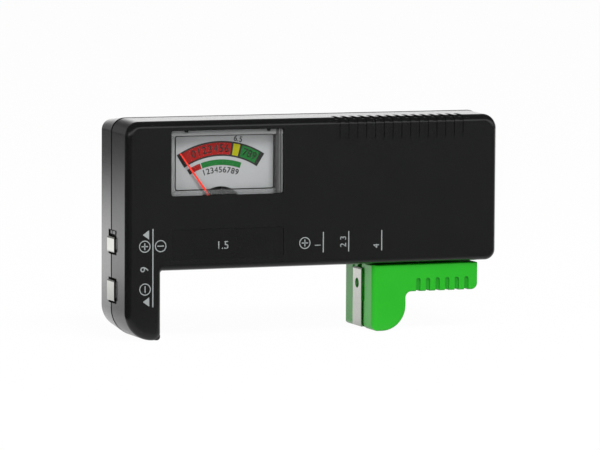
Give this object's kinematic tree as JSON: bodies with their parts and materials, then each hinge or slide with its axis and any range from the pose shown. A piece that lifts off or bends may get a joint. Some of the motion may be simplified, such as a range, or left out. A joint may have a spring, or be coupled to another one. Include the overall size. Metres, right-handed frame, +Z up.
{
  "type": "battery tester",
  "caption": "Hand-held battery tester with an analogue meter in a black two-part housing, a fixed leg contact, a sliding green contact arm and snap contacts on the side.",
  "frame": {"origin": "centre of the footprint, on the surface that the leg and the slider stand on", "axes": "+X to the right seen from the front, along the slider's travel; +Y from the front to the back; +Z up"},
  "size_m": [0.1106, 0.025, 0.0606],
  "materials": {
    "case_black": "fine moulded black plastic",
    "slider_green": "green moulded plastic",
    "clear_plastic": "clear polished",
    "dial_print": "printed matt grey-white",
    "pointer_red": "painted red",
    "contact_metal": "nickel-plated spring strip",
    "screw_steel": "zinc plated",
    "meter_tray": "black moulded plastic",
    "soft_iron": "bright machined",
    "brass_fittings": "turned or stamped",
    "coil_copper": "enamelled copper winding",
    "board_laminate": "resin laminate",
    "resistor_body": "lacquered",
    "lead_red": "insulated wire",
    "lead_black": "insulated wire",
    "runner_black": "slippery moulded plastic"
  },
  "bodies": {
    "housing": {"front_cover": "case_black", "rear_cover": "case_black", "case_screws": "screw_steel", "positive_contact_9v": "contact_metal", "negative_contact_9v": "contact_metal", "negative_contact_1v5": "contact_metal", "meter_window": "clear_plastic", "meter_base": "meter_tray", "meter_screws": "screw_steel", "dial_plate": "dial_print", "dial_screws": "screw_steel", "meter_bridge": "brass_fittings", "bridge_screws": "screw_steel", "jewel_screws": "brass_fittings", "yoke_ring": "soft_iron", "magnet_core": "soft_iron", "core_bracket": "brass_fittings", "meter_terminals": "brass_fittings", "circuit_board": "board_laminate", "board_screws": "screw_steel", "load_resistors": "resistor_body", "lead_9v_positive": "lead_red", "lead_9v_negative": "lead_black", "lead_1v5_negative": "lead_black", "lead_rail": "lead_red", "contact_rail": "brass_fittings"},
    "slider": {"slider_body": "slider_green", "slider_contact": "contact_metal", "slider_runner": "runner_black", "slider_screws": "screw_steel", "wiper_spring": "brass_fittings"},
    "pointer": {"moving_coil": "coil_copper", "pivot_staffs": "screw_steel", "hairsprings": "brass_fittings", "pointer": "pointer_red"}
  },
  "joints": [
    {"name": "slider_slide", "type": "slide", "parent": "housing", "child": "slider", "axis": [1, 0, 0], "range_m": [-0.061, 0.003]},
    {"name": "pointer_swing", "type": "hinge", "parent": "housing", "child": "pointer", "pos_m": [-0.02672, -0.0085, 0.03435], "axis": [0, 1, 0], "range_deg": [0, 74], "stiffness_Nm_per_rad": 0.000001, "springref_deg": -5.73}
  ]
}
